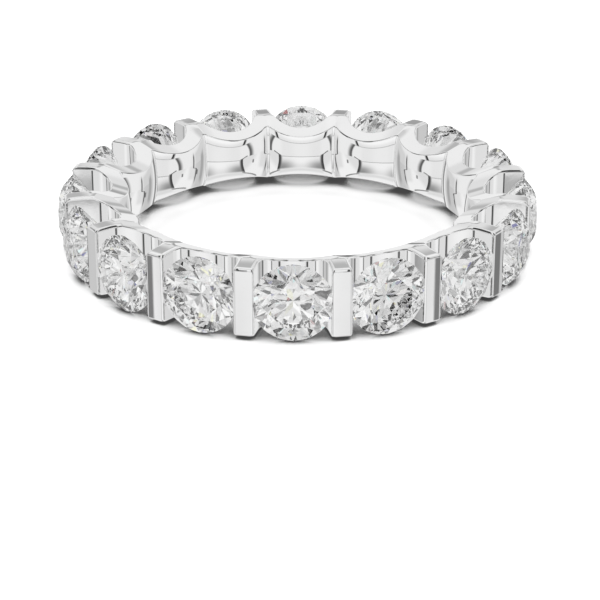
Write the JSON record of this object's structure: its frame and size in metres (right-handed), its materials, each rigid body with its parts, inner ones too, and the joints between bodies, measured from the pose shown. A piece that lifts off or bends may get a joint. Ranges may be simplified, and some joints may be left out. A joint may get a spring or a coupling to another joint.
{
  "type": "bar set band",
  "caption": "Ring that goes all the way round with round cut stones side by side, each held between two upright bars that rise from a scalloped rail round the finger.",
  "frame": {"origin": "under the centre of the ring, on the surface that it lies on", "axes": "+Z along the finger axis, up from the surface; -Y to the front stone, which faces the camera of the picture; +X to the right"},
  "size_m": [0.0238, 0.0238, 0.0037],
  "materials": {
    "polished_metal": "mirror polished white gold or platinum",
    "cut_stone": "colourless cut stone with flat polished facets"
  },
  "bodies": {
    "root": {"band": "polished_metal", "stone_01": "cut_stone", "stone_02": "cut_stone", "stone_03": "cut_stone", "stone_04": "cut_stone", "stone_05": "cut_stone", "stone_06": "cut_stone", "stone_07": "cut_stone", "stone_08": "cut_stone", "stone_09": "cut_stone", "stone_10": "cut_stone", "stone_11": "cut_stone", "stone_12": "cut_stone", "stone_13": "cut_stone", "stone_14": "cut_stone", "stone_15": "cut_stone", "stone_16": "cut_stone"}
  },
  "joints": []
}
